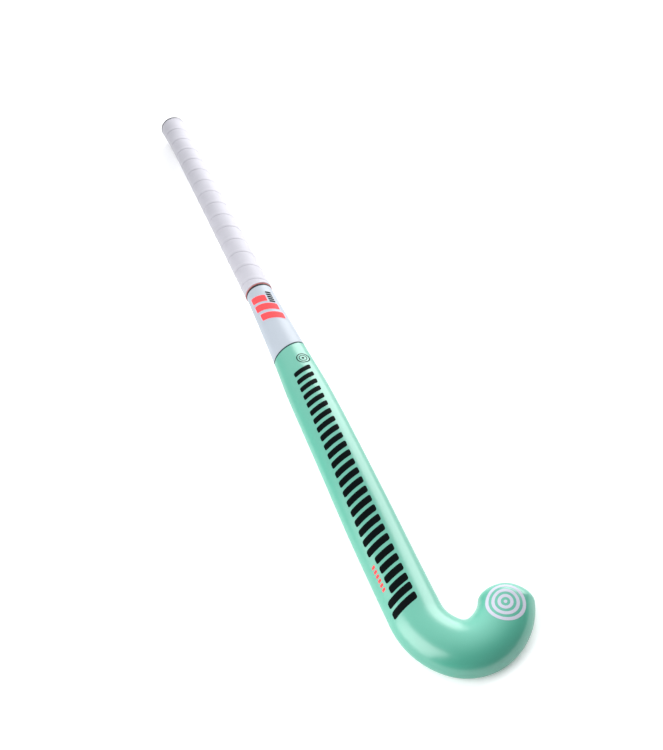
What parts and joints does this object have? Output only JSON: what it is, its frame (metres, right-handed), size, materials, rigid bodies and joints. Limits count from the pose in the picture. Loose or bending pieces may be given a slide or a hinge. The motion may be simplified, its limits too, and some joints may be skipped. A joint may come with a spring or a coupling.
{
  "type": "field hockey stick",
  "caption": "Junior field hockey stick with a bowed shaft, a hooked head with a flat striking face, a spliced wooden core, lacquered sleeves and a wound cushion grip.",
  "frame": {"origin": "middle of the stick's bounding box in plan, at the height of the surface it lies on, which is the plane of the flat striking face", "axes": "+Y up the shaft towards the butt, +X across the stick towards the toe, +Z out of the rounded back, away from the striking face"},
  "size_m": [0.1122, 0.8128, 0.0488],
  "materials": {
    "hook_wood": "satin",
    "handle_cane": "satin",
    "damping_rubber": "matte",
    "glass_cloth": "satin",
    "mint_lacquer": "gloss",
    "pale_lacquer": "gloss",
    "pinstripe_film": "satin",
    "black_tape": "satin",
    "coral_film": "gloss",
    "underlay_foam": "matte",
    "grip_polyurethane": "matte",
    "cap_rubber": "matte",
    "dark_film": "gloss",
    "pale_film": "gloss"
  },
  "bodies": {
    "root": {"hook_lamination_1": "hook_wood", "hook_lamination_2": "hook_wood", "hook_lamination_3": "hook_wood", "hook_lamination_4": "hook_wood", "hook_lamination_5": "hook_wood", "hook_lamination_6": "hook_wood", "handle_cane_1": "handle_cane", "handle_cane_2": "handle_cane", "handle_cane_3": "handle_cane", "handle_cane_4": "handle_cane", "handle_rubber_1": "damping_rubber", "handle_rubber_2": "damping_rubber", "handle_rubber_3": "damping_rubber", "face_cloth": "glass_cloth", "back_cloth": "glass_cloth", "lower_sleeve": "mint_lacquer", "colour_break_band": "pinstripe_film", "upper_sleeve": "pale_lacquer", "finishing_tape": "black_tape", "accent_band": "coral_film", "grip_underlay": "underlay_foam", "grip_tape": "grip_polyurethane", "end_cap": "cap_rubber", "shaft_decal": "dark_film", "side_decal": "coral_film", "handle_decal": "coral_film", "toe_decal": "pale_film", "ring_decal": "dark_film"}
  },
  "joints": []
}
